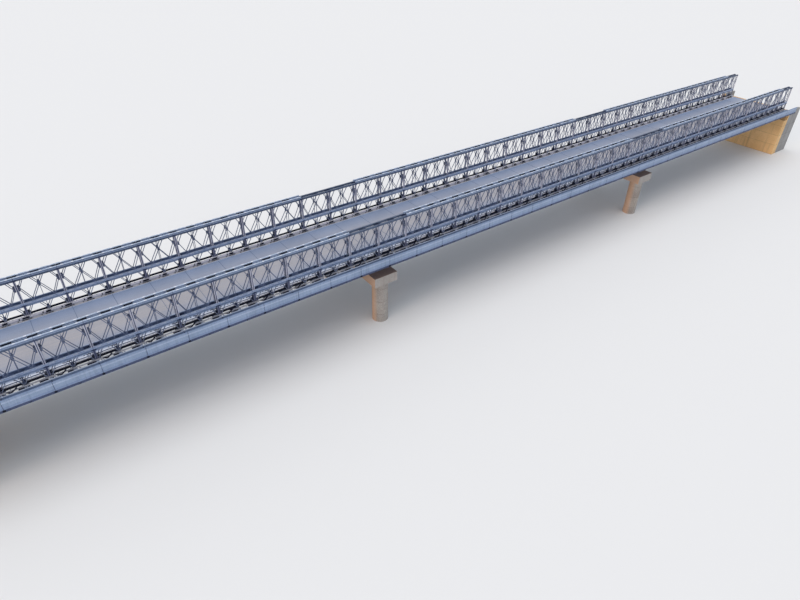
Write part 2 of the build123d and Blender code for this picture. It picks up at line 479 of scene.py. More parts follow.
def steel(name, pale, dark, dust_amount, run_amount, top=None, roughness=0.5, metallic=0.35):
    """Galvanised steel: clouds, dust, rain runs, a painted sky reflection on top, edges brightened
    by wear and painted highlight.
    """
    tree, shader = new_finish(name, roughness, metallic)
    cloudy = place_group(tree, clouds, Pale=(*pale, 1), Dark=(*dark, 1), Scale=9.0,
                         Fine_Scale=108.0)
    shade = [c * RUN_SHADE for c in dark]
    light = [min(1.0, c * EDGE_LIGHT) for c in pale]
    colour = lay_group(tree, cloudy["Color"], shade, runs, Across=70.0, Along=4.0,
                       Amount=run_amount)
    # A paler top: painted sky reflection on the faces that look up.
    if top:
        colour = lay_group(tree, colour, top, sky_side, Amount=TOP_AMOUNT)
    colour = lay_group(tree, colour, DUSTY, dust, Scale=16.0, Amount=dust_amount)
    # Brighter edges: partly wear, partly a painted highlight.
    colour = lay_group(tree, colour, light, edges, Radius=0.0007, Amount=0.5)
    rough = spread_out(tree, cloudy["Mask"], 0.0, 1.0, roughness - 0.08, roughness + 0.12)
    tree.links.new(rough, shader.inputs["Roughness"])
    lay_on(tree, shader, colour, cloudy["Mask"], 0.15, 0.0004)
    return shader


# %% The steel finishes
# Most rows are one zinc, painted paler or darker for the light and shade on each kind of part.
STEELS = {  # name: pale, dark, dust, runs, top, roughness, metallic
    # Darker than clean zinc: grime, and painted shade in the hollows of the main chords.
    "galvanised_steel": ((0.13, 0.18, 0.285), (0.085, 0.12, 0.20), 0.1, 0.35),
    # Painted paler for the light on the middle chords; their lower channels darker for the shade.
    "mid_chord_steel": ((0.46, 0.55, 0.74), (0.31, 0.39, 0.56), 0.1, 0.3, (0.42, 0.50, 0.66)),
    "low_mid_chord_steel": ((0.32, 0.40, 0.57), (0.21, 0.28, 0.42), 0.1, 0.3),
    # Painted shade: faces in the space between the planes, and the kerb's slit.
    "inner_face_steel": ((0.15, 0.205, 0.36), (0.095, 0.135, 0.25), 0.0, 0.2),
    # End uprights painted pale for the light on them, lower ones darker for the shade there.
    "upright_steel": ((0.70, 0.70, 0.79), (0.50, 0.51, 0.61), 0.1, 0.3),
    "low_upright_steel": ((0.31, 0.32, 0.43), (0.20, 0.21, 0.30), 0.05, 0.2),
    "bracing_steel": ((0.20, 0.24, 0.36), (0.11, 0.14, 0.23), 0.1, 0.3),
    "low_bracing_steel": ((0.32, 0.36, 0.48), (0.20, 0.24, 0.34), 0.1, 0.2),
    "knot_steel": ((0.10, 0.12, 0.19), (0.06, 0.07, 0.12), 0.05, 0.2),
    # Rail tops painted paler for the sky's reflection; the backs between the planes paler for the
    # light there.
    "rail_back_steel": ((0.42, 0.50, 0.68), (0.30, 0.37, 0.52), 0.0, 0.3, (0.66, 0.80, 1.0)),
    "rail_steel": ((0.25, 0.32, 0.47), (0.18, 0.24, 0.37), 0.05, 0.2, (0.66, 0.76, 0.94)),
    # Clean zinc, brightened further as a painted glint.
    "bright_zinc": ((0.74, 0.79, 0.90), (0.60, 0.66, 0.79), 0.05, 0.1),
    # Painted shade: lugs, strips, ties, cleats, holders and the edge beam, where parts shade each
    # other.
    "navy_zinc": ((0.075, 0.10, 0.19), (0.04, 0.055, 0.12), 0.02, 0.1),
    # The near kerb is painted bright for the light on it, the far kerb darker for its shade.
    "kerb_steel": ((0.84, 0.88, 1.0), (0.64, 0.69, 0.82), 0.12, 0.1),
    "far_kerb_steel": ((0.55, 0.56, 0.65), (0.40, 0.41, 0.49), 0.1, 0.1),
    # The edge rails are painted nearly white against the shade of the trusses.
    "edge_rail_steel": ((0.92, 0.93, 1.0), (0.74, 0.76, 0.86), 0.1, 0.1, None, 0.5, 0.1),
    "edge_strip": ((0.52, 0.52, 0.56), (0.42, 0.43, 0.47), 0.3, 0.1),
    # Footway tops are painted paler for the sky's reflection.
    "footway_steel": ((0.33, 0.42, 0.59), (0.24, 0.32, 0.47), 0.1, 0.25, (0.50, 0.58, 0.73)),
    # Dark seams, and a band of painted shade on the footway floor.
    "gutter_steel": ((0.105, 0.16, 0.28), (0.07, 0.11, 0.205), 0.02, 0.1),
    # Parapet tones: the middle rail painted paler; cap, posts and kick plates darker, for light and
    # shade.
    "parapet_rail": ((0.44, 0.53, 0.70), (0.32, 0.40, 0.56), 0.1, 0.2),
    "kick_plate": ((0.27, 0.35, 0.54), (0.19, 0.26, 0.42), 0.1, 0.3),
    "bearing_steel": ((0.16, 0.17, 0.19), (0.06, 0.06, 0.07), 0.5, 0.4),
}
for name, values in STEELS.items():
    steel(name, *values)
# Nearly black: bolts, rubber, seams, knots, the duct and struts, and painted shade in the trays.
dark_shader = steel("dark_zinc", (0.012, 0.014, 0.033), (0.006, 0.008, 0.018), 0.0, 0.1, None,
                    0.65, 0.0)
dark_shader.inputs["Specular IOR Level"].default_value = 0.1
print("Steel finishes:", len(finishes), "from bright zinc to nearly black")

# %% The deck's own finish: paler and greyer in the middle, bluer towards the kerbs, with streaks
tree, shader = new_finish("deck_steel", 0.62, 0.15)
lane = place_group(tree, lanes, Middle=-0.03, Inner=0.06, Outer=0.42, Across=90.0, Along=2.0)
cloudy = place_group(tree, clouds, Pale=(1, 1, 1, 1), Dark=(0.84, 0.84, 0.84, 1), Scale=3.0,
                     Fine_Scale=140.0)
colour = layer(tree, (0.43, 0.42, 0.45, 1), (0.21, 0.31, 0.52, 1), lane["Edge"])
soft = work_out(tree, "MULTIPLY", lane["Streak"], 0.3)
colour = layer(tree, colour, (0.27, 0.32, 0.44, 1), soft)
shaded = add_node(tree, "ShaderNodeMix", {"Factor": 1.0, 6: colour, 7: cloudy["Color"]},
                  data_type="RGBA", blend_type="MULTIPLY").outputs[2]
lay_on(tree, shader, shaded, cloudy["Mask"], 0.2, 0.0005)
print("Deck finish")

# %% [markdown]
# ## Concrete finishes
# The piers were cast in lifts, ring upon ring, and each lift left a faint level line and its own
# shade. The abutment's front is ochre, painted for the low warm sun that falls on it, and the
# faces of columns and crossheads towards the left bank are painted warm for that sun as well. A
# wave texture along Z would give lines that are too even, so the lift number itself, rounded
# down, drives a noise that gives each lift its own shade.

# %% Lifts: level joints and a shade for each lift
lifts, given = new_group("cast_lifts", Lift=0.06, Line=0.06, Offset=0.0)
height = work_out(lifts, "ADD", part_of(lifts, object_place(lifts), "Z"), given["Offset"])
count = work_out(lifts, "DIVIDE", height, given["Lift"])
line = work_out(lifts, "LESS_THAN", work_out(lifts, "FRACT", count), given["Line"])
own = add_node(lifts, "ShaderNodeTexWhiteNoise", {"W": work_out(lifts, "FLOOR", count)},
               noise_dimensions="1D")
hand_out(lifts, Joint=line, Shade=own.outputs["Value"])

# %% Painted sunlight: a warm colour on the faces that look towards the left bank, where the low sun falls
LEFT_BANK = (-0.86, 0.5, 0.0)
sunlit_side, given = new_group("painted_sunlit_side", Amount=0.6)
likeness = dot_product(sunlit_side, surface_normal(sunlit_side), LEFT_BANK)
hand_out(sunlit_side, Mask=spread_out(sunlit_side, likeness, 0.4, 0.85, 0.0, given["Amount"]))


# %% The concrete finishes
def concrete(name, pale, dark, stain, lift, stain_amount, offset=0.0, top=None, side=None):
    """Cast concrete: clouds, lifts, rain runs, grime on top and painted warm sunlight on its left
    side.
    """
    tree, shader = new_finish(name, 0.85, 0.0)
    cloudy = place_group(tree, clouds, Pale=(*pale, 1), Dark=(*dark, 1), Scale=7.0,
                         Fine_Scale=120.0)
    lift_marks = place_group(tree, lifts, Lift=lift, Line=0.035, Offset=offset)
    shade = spread_out(tree, lift_marks["Shade"], 0.0, 1.0, 0.0, 0.35)
    colour = layer(tree, cloudy["Color"], (*dark, 1), shade)
    colour = lay_group(tree, colour, stain, runs, Across=26.0, Along=2.0, Amount=stain_amount)
    joint = work_out(tree, "MULTIPLY", lift_marks["Joint"], 0.55)
    colour = layer(tree, colour, (*(c * 0.5 for c in dark), 1), joint)
    # Painted warm sunlight on the faces that look towards the left bank.
    if side:
        colour = lay_group(tree, colour, side, sunlit_side, Amount=0.75)
    if top:
        colour = lay_group(tree, colour, top, sky_side, Amount=TOP_AMOUNT)
    lay_on(tree, shader, colour, cloudy["Mask"], 0.35, 0.001)


# The warm colour painted on the left faces of columns and crossheads, for the low sun.
PAINTED_WARM_SUNLIGHT = (0.66, 0.40, 0.25)
concrete("column_concrete", (0.52, 0.49, 0.46), (0.28, 0.255, 0.24), (0.24, 0.19, 0.15), 0.145,
         0.5, 0.059, None, PAINTED_WARM_SUNLIGHT)
concrete("crosshead_concrete", (0.45, 0.425, 0.41), (0.33, 0.305, 0.29), (0.26, 0.20, 0.16), 2.0,
         0.4, 0.0, (0.24, 0.155, 0.13), PAINTED_WARM_SUNLIGHT)
# The abutment's ochre is painted brighter and warmer for the low sun on its front.
concrete("sunlit_ochre_concrete", (0.90, 0.60, 0.30), (0.70, 0.44, 0.20), (0.36, 0.23, 0.12), 0.15, 0.5)
concrete("wall_concrete", (0.36, 0.36, 0.365), (0.25, 0.25, 0.255), (0.18, 0.16, 0.15), 0.15, 0.4)

# %% Plain pale floor
floor_shader = new_finish("studio_floor", 0.9, 0.0)[1]
floor_shader.inputs["Base Color"].default_value = (0.78, 0.79, 0.80, 1)
floor_mesh.materials.append(finishes["studio_floor"])
print("Concrete finishes: column, crosshead, ochre, wall; and the floor")

# %% [markdown]
# ## Chords of paired channels
# Each chord of a truss panel is a pair of rolled channels, back to back, with the upright bars
# held in the slot between them. A box with a groove would do from far away, but the open side of
# a channel holds a dark hollow that draws a line along the whole bridge. So the real section is
# drawn out, one length for each panel, with a narrow gap at every joint. The channels that face
# the space between the two planes never see the sky, and their finish is painted darker for that
# shade. In the open, the middle channels are painted paler for the light on them, and the lower
# one of each middle pair darker for the shade under it.

# %% Channels of the chords
SLOT = 4.0
ROLLED, THICK_ROLLED = 1.5, 2.6
JOINT_GAP = 5.0
BAYS = [(span, side) for span in SPANS for side in SIDES]
BOTTOM, LOW_MIDDLE, MIDDLE, TOP = range(4)
chord_levels = (base_z, mid_z - CHORD_DEPTH, mid_z, top_z - CHORD_DEPTH)


def side_planes(side):
    """The middle lines of the two truss planes on one side of the road."""
    return [SIDES[side] * y for y in (inner_y, outer_y)]


def side_faces(side):
    """Each plane of a side with each way it faces, and whether that face is in the open."""
    return [(SIDES[side] * y, SIDES[side] * facing, facing == open_side)
            for y, open_side in ((inner_y, -1), (outer_y, 1)) for facing in (-1, 1)]


def add_channel(stock, plane_y, facing, low_z, height, ends, thickness=ROLLED):
    """A channel with its back on the slot and its open side towards facing."""
    back, lip, inside = SLOT / 2, CHORD_WIDTH / 2, height - thickness
    section = [(back, 0), (lip, 0), (lip, thickness), (back + thickness, thickness),
               (back + thickness, inside), (lip, inside), (lip, height), (back, height)]
    add_long(stock, section, facing, *ends, low_z, plane_y)


for span, side in BAYS:
    outer, low_middle, middle, inward = new_stocks(4)
    for plane_y, facing, in_the_open in side_faces(side):
        for number, level in enumerate(chord_levels):
            stock = (outer if number in (BOTTOM, TOP) else inward if not in_the_open
                     else low_middle if number == LOW_MIDDLE else middle)
            thickness = THICK_ROLLED if number == MIDDLE else ROLLED
            for panel in range(*SPANS[span]):
                add_channel(stock, plane_y, facing, level, CHORD_DEPTH,
                            cut_short(panel, PANEL, JOINT_GAP / 2), thickness)
    make_pieces(f"{span}_{side}_", STEEL, ("chord_channels", outer, STEEL, "chords"),
                ("middle_channels", middle, "mid_chord_steel"),
                ("low_middle_channels", low_middle, "low_mid_chord_steel"),
                ("shaded_channels", inward, "inner_face_steel"))

# %% [markdown]
# ## Lugs and pins
# Panels are held end to end by steel pins. At each joint the chord of one panel ends in lugs that
# pass between the lugs of the next. From outside, that is a darker knot with a pin's round head
# in it. The lugs fill the slot, stand a little out of the channels' hollows, and carry the head.

# %% Lugs and pins at every panel joint
LUG_LENGTH = 34.0
LUG_INSET = 0.9
LUGS = ((-LUG_LENGTH / 2, 14.0), (-1.0, LUG_LENGTH / 2 + 1.0))  # start beside the pin, length
PIN_RADIUS, PIN_SIDES = 2.6, 8
PIN_HEAD = 0.4


def add_joint(stock, x, plane_y, low_z):
    x = inside_bridge(x, LUG_LENGTH / 2)
    centre_z = low_z + CHORD_DEPTH / 2
    lug_y = CHORD_WIDTH / 2 - LUG_INSET
    for start, length in LUGS:
        add_block(stock, (x + start, plane_y - lug_y, low_z + ROLLED),
                  (x + start + length, plane_y + lug_y, low_z + CHORD_DEPTH - ROLLED))
    add_rod(stock, (x, plane_y - CHORD_WIDTH / 2 - PIN_HEAD, centre_z),
            (x, plane_y + CHORD_WIDTH / 2 + PIN_HEAD, centre_z), PIN_RADIUS, PIN_SIDES)


for side in SIDES:
    lugs, pale_lugs = new_stocks(2)
    for x in joint_places:
        for plane_y in side_planes(side):
            for number, level in enumerate(chord_levels):
                add_joint(pale_lugs if number == MIDDLE else lugs, x, plane_y, level)
    # The lugs are painted navy for the shade in the joints; the middle ones take the middle chords'
    # paint.
    make_pieces(f"{side}_", STEEL, ("lugs_and_pins", lugs, "navy_zinc"),
                ("middle_lugs", pale_lugs, "mid_chord_steel"))

# %% [markdown]
# ## Reinforcing chords
# Over most of each span a second pair of channels is bolted on top of the trusses and under
# them, where the load bends the bridge most. The panels beside a pier do without. These rails
# catch the sky, and their tops are painted paler for its reflection, so they draw the brightest
# line of the whole bridge. The bolts go through pairs of small plates of clean zinc, painted
# brighter still as a glint, near each joint and near the middle of each panel.

# %% Reinforcing chords with their bolt plates
BOLT_PLACES = (0.13, 0.37, 0.63, 0.87)
PLATE_LENGTH = 17.0
PLATE_LIFT = 0.6
RAIL_GAP = 1
reinforced_panels = [panel for first, last in SPANS.values()
                     for panel in range(first + 1, last - 1)]


def bolt_places(panels):
    return [(panel + share) * PANEL for panel in panels for share in BOLT_PLACES]


for level_name, up in (("top", 1), ("bottom", -1)):
    for side in SIDES:
        low, high = box_mm(f"{side}_{level_name}_reinforcement")
        rails, backs, plates = new_stocks(3)
        rail_low_z = low.z if up > 0 else low.z + PLATE_LIFT
        face_z = high.z if up > 0 else low.z
        plate_low, plate_high = sorted((face_z, face_z - up * PLATE_LIFT))
        for plane_y, facing, in_the_open in side_faces(side):
            for panel in reinforced_panels:
                add_channel(rails if in_the_open else backs, plane_y, facing, rail_low_z,
                            CHORD_DEPTH - PLATE_LIFT, cut_short(panel, PANEL, RAIL_GAP))
        for plane_y in side_planes(side):
            for x in bolt_places(reinforced_panels):
                add_beside(plates, 1, around(x, PLATE_LENGTH / 2),
                           around(plane_y, CHORD_WIDTH / 2), (plate_low, plate_high))
        make_pieces(f"{side}_{level_name}_", STEEL,
                    ("rails", rails, "rail_steel", "reinforcement"),
                    ("rail_backs", backs, "rail_back_steel"),
                    ("bolt_plates", plates, "bright_zinc"))

# %% Washers along the middle chords: clean zinc with a painted glint
WASHER_LENGTH, WASHER_DEPTH = 34.0, 2.5
washer_z = (mid_z + 8, mid_z + CHORD_DEPTH - 0.5)
for side in SIDES:
    washers = new_stock()
    for plane_y, facing, in_the_open in side_faces(side):
        if in_the_open:
            across = (plane_y + facing * (CHORD_WIDTH / 2 - WASHER_DEPTH),
                      plane_y + facing * (CHORD_WIDTH / 2))
            for x in bolt_places(range(PANELS)):
                add_beside(washers, 1, around(x, WASHER_LENGTH / 2), across, washer_z)
    make_pieces(f"{side}_", STEEL, ("chord_washers", washers, "bright_zinc"))

# %% [markdown]
# ## Upright bars
# Every panel has an upright at each end, so two of them stand side by side at a joint with a
# slit between. In the middle of the panel stands a thinner one. All are small channels. The
# pair at a joint is what the eye reads as one broad post.

# %% End uprights and middle uprights
END_UPRIGHT, END_DEPTH = 6.0, 8.0
MIDDLE_UPRIGHT, MIDDLE_DEPTH = 4.0, 5.0
UPRIGHT_THICKNESS = 1.3
WEB_LOW, WEB_HIGH = CHORD_DEPTH, mid_z - base_z - CHORD_DEPTH
storeys = [(z + WEB_LOW, z + WEB_HIGH, z == base_z) for z in (base_z, mid_z)]


def webs(span, side):
    """The web of each panel: its number, plane and two levels, and if it is a lower one."""
    for plane_y in side_planes(side):
        for low_z, high_z, is_low in storeys:
            for panel in range(*SPANS[span]):
                yield panel, plane_y, low_z, high_z, is_low


def add_upright(stock, x, y, width, depth, low_z, high_z, open_to):
    """An upright channel. Its open side faces along X, towards open_to."""
    w, d, t = width / 2, depth / 2, UPRIGHT_THICKNESS
    outline = [(-w, -d), (w, -d), (w, t - d), (t - w, t - d), (t - w, d - t), (w, d - t), (w, d),
               (-w, d)]
    outline = [(open_to * along, across) for along, across in outline]
    draw_out(stock, outline, (x, y, low_z), (x, y, high_z), X, Y)


for span, side in BAYS:
    ends, low_ends, middles = new_stocks(3)
    for panel, plane_y, low_z, high_z, is_low in webs(span, side):
        for joint, towards in ((panel, 1), (panel + 1, -1)):
            x = joint * PANEL + towards * (JOINT_GAP / 2 + END_UPRIGHT / 2)
            add_upright(low_ends if is_low else ends, x, plane_y, END_UPRIGHT, END_DEPTH, low_z,
                        high_z, towards)
        add_upright(middles, (panel + 0.5) * PANEL, plane_y, MIDDLE_UPRIGHT, MIDDLE_DEPTH, low_z,
                    high_z, 1)
    # End uprights painted pale for the light on them, the lower storey's darker for its shade.
    make_pieces(f"{span}_{side}_", STEEL, ("uprights", ends, "upright_steel", "posts"),
                ("low_uprights", low_ends, "low_upright_steel"),
                ("middle_uprights", middles, "bracing_steel"))

# %% Navy strips in the slits between end uprights: painted shade in the slits
STRIP_HALF, STRIP_DEPTH, STRIP_GAP = 3.1, 4.5, 2
for side in SIDES:
    strips = new_stock()
    for x in joint_places[1:-1]:
        for plane_y in side_planes(side):
            for low_z, high_z, is_low in storeys:
                add_beside(strips, 1, around(x, STRIP_HALF), around(plane_y, STRIP_DEPTH),
                           (low_z + STRIP_GAP, high_z - STRIP_GAP))
    make_pieces(f"{side}_", STEEL, ("packing_strips", strips, "navy_zinc"))

# %% [markdown]
# ## Braces
# The braces of a panel stand on its lower chord in two V shapes and cross in its middle, a
# little above half height. At the same height they meet the end uprights, where a knot plate
# takes them, and go on up to the upper chord. Only these few shares of the panel's length and
# height are typed in, and every bar follows from them.

# %% Braces of every panel, in both planes
FOOT = 0.25
KNOT = 0.05
KNOT_HEIGHT = 0.62
TOP_OUTER = 0.19
BRACE_WIDTH, BRACE_DEPTH = 4.8, 5.0
MIRRORED_DEPTH = BRACE_DEPTH - 0.5
KNOT_WIDTH, KNOT_TALL = 22.0, 32.0
KNOT_THICKNESS = 4.4
WEB = WEB_HIGH - WEB_LOW


def panel_braces():
    """Bars of one panel as pairs of points, in shares of its length and of the web's height."""
    crossing_top = FOOT + (0.5 - FOOT) / KNOT_HEIGHT
    for mirrored in (False, True):
        for bar in (((FOOT, 0), (crossing_top, 1)), ((FOOT, 0), (KNOT, KNOT_HEIGHT)),
                    ((KNOT, KNOT_HEIGHT), (TOP_OUTER, 1))):
            yield [(1 - x if mirrored else x, z) for x, z in bar], mirrored


def add_knot(stock, x, plane_y, z):
    """A plate over the place where braces meet, pointed at both sides."""
    half, tall = KNOT_WIDTH / 2, KNOT_TALL / 2
    outline = [(-half, 0), (-half / 3, -tall), (half / 3, -tall), (half, 0), (half / 3, tall),
               (-half / 3, tall)]
    front, back = around(plane_y, KNOT_THICKNESS / 2)
    draw_out(stock, outline, (x, front, z), (x, back, z), X, Z)


for span, side in BAYS:
    braces, low_braces, knots = new_stocks(3)
    for panel, plane_y, low_z, high_z, is_low in webs(span, side):
        for bar, mirrored in panel_braces():
            start, end = [((panel + x) * PANEL, plane_y, low_z + z * WEB) for x, z in bar]
            add_bar(low_braces if is_low else braces, start, end, BRACE_WIDTH,
                    MIRRORED_DEPTH if mirrored else BRACE_DEPTH)
        for share in (KNOT, 0.5, 1 - KNOT):
            add_knot(knots, (panel + share) * PANEL, plane_y, low_z + KNOT_HEIGHT * WEB)
    # Braces and knot plates take tones of the one zinc, painted for the light and shade on each.
    make_pieces(f"{span}_{side}_", STEEL, ("braces", braces, "bracing_steel", "diagonals"),
                ("low_braces", low_braces, "low_bracing_steel"),
                ("knot_plates", knots, "knot_steel"))

# %% [markdown]
# ## Frames between the two planes
# Two trusses that stand side by side are tied together at each joint and in the middle of each
# panel. Seen from above, the ties are short trays between the bright rails, painted dark for the
# shade in them. Seen from the end, they are tall frames with a cross in each storey.

# %% Trays on the top chords and battens on the middle ones, painted dark for the shade between the planes
TRAY_LENGTH, TRAY_DEPTH = 60.0, 8
TRAY_FLOOR, TRAY_RIM = 1.5, 2
BATTEN_HALF, BATTEN_THICKNESS = 19, 1.2
BATTEN_SHARES = (-0.115, 0.11)
gap = (gap_low, gap_high)


def add_tray(stock, x, sign, low_z):
    """A shallow tray with turned-up ends, that fills the space between the planes."""
    start, end = around(inside_bridge(x, TRAY_LENGTH / 2), TRAY_LENGTH / 2)
    add_beside(stock, sign, (start, end), gap, (low_z, low_z + TRAY_FLOOR))
    for edge in (start, end - TRAY_RIM):
        add_beside(stock, sign, (edge, edge + TRAY_RIM), gap,
                   (low_z + TRAY_FLOOR, low_z + TRAY_DEPTH))


for side, sign in SIDES.items():
    trays, top_trays = new_stocks(2)
    for x in joint_places:
        for share in BATTEN_SHARES:
            middle = inside_bridge(x + share * PANEL, BATTEN_HALF)
            add_beside(top_trays, sign, around(middle, BATTEN_HALF),
                       (gap_low, gap_low + BATTEN_THICKNESS), (mid_z - 13, mid_z + CHORD_DEPTH - 1))
    for x, at_joint in half_places:
        add_tray(top_trays, x, sign, top_z - CHORD_DEPTH)
        add_tray(trays, x, sign, mid_z - 5)
        beside = {min(int(place / PANEL), PANELS - 1) for place in (x, max(x - 1, 0))}
        if beside.issubset(reinforced_panels):
            add_tray(trays, x, sign, top_z + CHORD_DEPTH - 9)
    make_pieces(f"{side}_", STEEL, ("trays", trays, "dark_zinc"),
                ("top_trays", top_trays, "navy_zinc"))

# %% Upright frames between the planes
FRAME_INSET = 6
FRAME_LAP = 2
for side, sign in SIDES.items():
    frames = new_stock()
    near, away = sign * (gap_low - FRAME_LAP), sign * (gap_high + FRAME_LAP)
    for x in joint_places:
        x = inside_bridge(x, FRAME_INSET)
        for web_low, web_high, is_low in storeys:
            low_z, high_z = web_low + FRAME_INSET, web_high - FRAME_INSET
            for z in (low_z, (low_z + high_z) / 2, high_z):
                add_bar(frames, (x, near, z), (x, away, z), 5, 4, X)
            add_bar(frames, (x, near, low_z), (x, away, high_z), 3, 3, X)
            add_bar(frames, (x, away, low_z), (x, near, high_z), 3, 2.6, X)
    make_pieces(f"{side}_", STEEL, ("tie_frames", frames, "bracing_steel"))

# %% [markdown]
# ## Cross beams and what holds them
# The cross beams are rolled I beams, and the frame has them already. What it lacks is the way
# they are held: a bolted cleat at each end, and under the deck two crossed rods in each panel,
# which keep the bridge from leaning over in the wind.

# %% Cleats and crossed rods under the deck
BOLT_RADIUS, ROD_RADIUS = 2.2, 1.6
CLEAT_HALF = 13
ROD_INSET, ROD_RISE = 14, 20
transom_low, transom_high = box_mm("left_transoms")
beam_half = transom_high.y
cleats, rods = new_stocks(2)
for x, at_joint in half_places:
    x = inside_bridge(x, CLEAT_HALF)
    for sign in SIDES.values():
        for edge in (-9, 5):
            add_beside(cleats, sign, (x + edge, x + edge + 4),
                       (beam_half - 4, beam_half + CHORD_WIDTH),
                       (transom_low.z + 14, transom_high.z - 10))
        bolt_y = sign * (beam_half + 6)
        for rise in (28, 56, 84):
            bolt_z = transom_low.z + rise
            add_rod(cleats, (x - 12, bolt_y, bolt_z), (x + 12, bolt_y, bolt_z), BOLT_RADIUS)
for panel in range(PANELS):
    start, end = cut_short(panel, PANEL, ROD_INSET)
    for sign in (-1, 1):
        y, z = sign * (beam_half - 20), transom_low.z + ROD_RISE
        add_rod(rods, (start, -y, z), (end, y, z + 3 * sign), ROD_RADIUS)
# The cleats are painted navy for the shade under the deck.
make_pieces("", STEEL, ("transom_cleats", cleats, "navy_zinc"),
            ("sway_rods", rods, "bracing_steel"))

# %% [markdown]
# ## Deck edge and kerbs
# Lines of light, dark, light and black run the length of the bridge beside the road, and the
# eye reads them before anything else there. They are a broad kerb section, a slit, a second
# section outside it, and a black duct between the two truss planes, which hangs from plates at
# each joint and in the middle of each panel. Each of them gets its own long section. The kerb
# sections are painted brighter for the light on them, the near kerb more than the far one, and
# a dark strip is painted into the slit for its shade.

# %% Kerb sections and the rail outside the slit
KERB_UNIT = PANEL / 2
KERB_RISE = kerb_high.z - kerb_low.z
KERB_BOLTS = (0.08, 0.3, 0.7, 0.92)
BOLT_HEAD = 1.6
kerb_inner, deck_half = sorted((abs(kerb_low.y), abs(kerb_high.y)))
kerb_section = [(kerb_inner, 0), (deck_half, 0), (deck_half, KERB_RISE),
                (kerb_inner + 3, KERB_RISE), (kerb_inner, KERB_RISE - 4)]
rail_section = oblong(deck_half + 3.5, deck_half + 12.3, 0, KERB_RISE - 5)
slit_shade_section = [(deck_half, -8), (deck_half + 3.5, -8), (deck_half + 3.5, KERB_RISE - 12),
                (deck_half + 1, KERB_RISE - 12), (deck_half + 1, KERB_RISE - 0.5),
                (deck_half, KERB_RISE - 0.5)]
for side, sign in SIDES.items():
    kerb_box, rails, slit, bolts = new_stocks(4)
    for unit in range(2 * PANELS):
        ends = cut_short(unit, KERB_UNIT, 1)
        add_long(kerb_box, kerb_section, sign, *ends, kerb_low.z)
        add_long(rails, rail_section, sign, *ends, kerb_low.z)
        for share in KERB_BOLTS:
            x = unit * KERB_UNIT + share * KERB_UNIT
            for y, z in ((kerb_inner + 9, kerb_high.z - 0.2), (deck_half + 8, kerb_high.z - 5.2)):
                add_rod(bolts, (x, sign * y, z), (x, sign * y, z + BOLT_HEAD), BOLT_RADIUS)
    # A dark strip painted into the slit, for the shade in it.
    add_long(slit, slit_shade_section, sign, 1, LENGTH - 1, kerb_low.z)
    # The near kerb is painted brighter and the far kerb darker, for the light and shade on each.
    finish = "kerb_steel" if side == "near" else "far_kerb_steel"
    make_pieces(f"{side}_", "kerb_steel", ("kerb_units", kerb_box, finish, "kerb"),
                ("edge_rails", rails, "edge_rail_steel"),
                ("kerb_slit", slit, "inner_face_steel"), ("kerb_bolts", bolts, "dark_zinc"))

# %% Black duct between the planes, and the plates that hold it
DUCT_HALF, DUCT_SHIFT = 6.5, 3
DUCT_LOW, DUCT_HIGH = kerb_high.z - 12, kerb_high.z
HOLDER_MIDDLE = (DUCT_LOW + DUCT_HIGH) / 2 + 11
duct_across = (between_y - DUCT_HALF - DUCT_SHIFT, between_y + DUCT_HALF - DUCT_SHIFT)
for side, sign in SIDES.items():
    ducts, holders = new_stocks(2)
    for panel in range(PANELS):
        add_beside(ducts, sign, cut_short(panel, PANEL, 1), duct_across, (DUCT_LOW, DUCT_HIGH))
    for x, at_joint in half_places:
        half, tall = (13, 12) if at_joint else (9, 11)
        x = inside_bridge(x, half)
        for y in (gap_low + 1, gap_high - 1):
            add_beside(holders, sign, around(x, half), around(y, 1), around(HOLDER_MIDDLE, tall))
        for z in (DUCT_LOW - 3, DUCT_HIGH):
            add_beside(holders, sign, around(x, half * 0.6), gap, (z, z + 3))
    # The holders are painted navy for the shade between the planes.
    make_pieces(f"{side}_", STEEL, ("duct", ducts, "dark_zinc"),
                ("duct_holders", holders, "navy_zinc"))

# %% Strips, bolts and seams on the deck
STRIP_SECTION = oblong(kerb_inner - 21, kerb_inner - 1, 0, 0.8)
LINE_SECTION = oblong(kerb_inner - 31, kerb_inner - 26, 0, 1.2)
BOLT_REACH = 72
SEAM_HALF, SEAM_INSET = 1.6, 32
for side, sign in SIDES.items():
    strips, lines, bolts = new_stocks(3)
    for unit in range(2 * PANELS):
        ends = cut_short(unit, KERB_UNIT, 2)
        add_long(strips, STRIP_SECTION, sign, *ends, deck_high.z)
        add_long(lines, LINE_SECTION, sign, *ends, deck_high.z)
    for x, at_joint in half_places:
        x = inside_bridge(x, BOLT_REACH)
        start, end = (-44, 6) if at_joint else (-30, 6)
        for low_x, high_x in ((start, end), (start - 26, start - 18)):
            add_beside(bolts, sign, (x + low_x, x + high_x), (kerb_inner - 2.5, kerb_inner + 5),
                       (kerb_high.z - 10, kerb_high.z + 1.2))
        for low_x, high_x in ((start - 8, start + 10), (start + 13, end - 6), (end - 2, end + 14),
                              (start - 38, start - 29)):
            add_beside(bolts, sign, (x + low_x, x + high_x), (kerb_inner - 9, kerb_inner - 3),
                       (deck_high.z + 0.5, deck_high.z + 4))
    make_pieces(f"{side}_deck_", "deck_steel", ("strips", strips, "edge_strip"),
                ("lines", lines, "rail_steel"), ("bolts", bolts, "dark_zinc"))
seams = new_stock()
for x in joint_places:
    add_beside(seams, 1, around(inside_bridge(x, 2), SEAM_HALF),
               (SEAM_INSET - kerb_inner, kerb_inner - SEAM_INSET),
               (deck_high.z, deck_high.z + 0.5))
make_pieces("deck_", "deck_steel", ("seams", seams, "gutter_steel"))

# %% [markdown]
# ## Ribs under the deck
# From below, the deck isn't a flat plate: each unit is stiffened by ribs that run from cross
# beam to cross beam. They are plain troughs, welded on.

